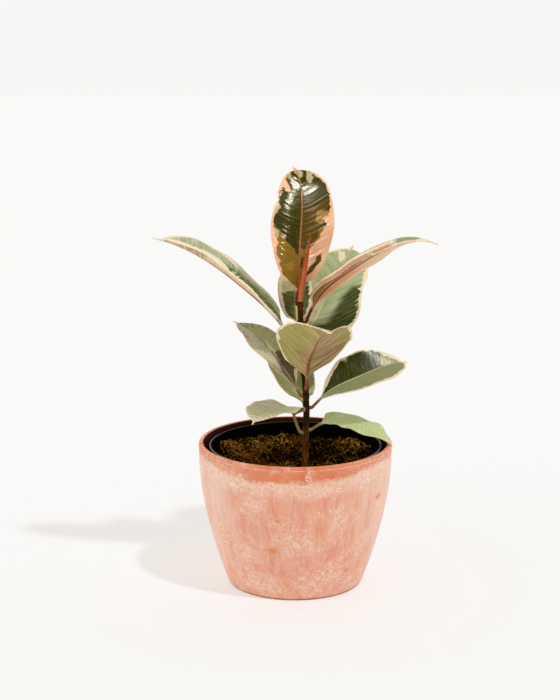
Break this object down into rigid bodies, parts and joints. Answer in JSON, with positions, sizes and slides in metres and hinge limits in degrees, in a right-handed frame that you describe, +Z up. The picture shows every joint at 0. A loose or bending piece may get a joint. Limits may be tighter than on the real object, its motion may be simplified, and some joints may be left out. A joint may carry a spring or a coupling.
{
  "type": "potted rubber plant",
  "caption": "Young rubber plant with broad green leaves edged in cream and pink, in a thin black grow pot inside a tapered terracotta planter.",
  "frame": {"origin": "centre of the planter's foot, on the surface that it stands on", "axes": "+Z up along the planter's axis; -Y towards the side that is seen, with the long leaves out to -X and +X"},
  "size_m": [0.2585, 0.1959, 0.3909],
  "materials": {
    "planter": "matte",
    "nursery_pot": "satin",
    "potting_mix": "matte",
    "moss_top": "matte",
    "stem": "satin",
    "bud_sheath": "satin",
    "leaf": "satin"
  },
  "bodies": {
    "root": {"planter": "planter", "nursery_pot": "nursery_pot", "potting_mix": "potting_mix", "moss_top": "moss_top", "stem": "stem", "bud_sheath": "bud_sheath", "leaf_top": "leaf", "leaf_left_long": "leaf", "leaf_right_long": "leaf", "leaf_back_right": "leaf", "leaf_back_left": "leaf", "leaf_left_mid": "leaf", "leaf_front": "leaf", "leaf_right_mid": "leaf", "leaf_back_low": "leaf", "leaf_low_left": "leaf", "leaf_low_right": "leaf"}
  },
  "joints": []
}
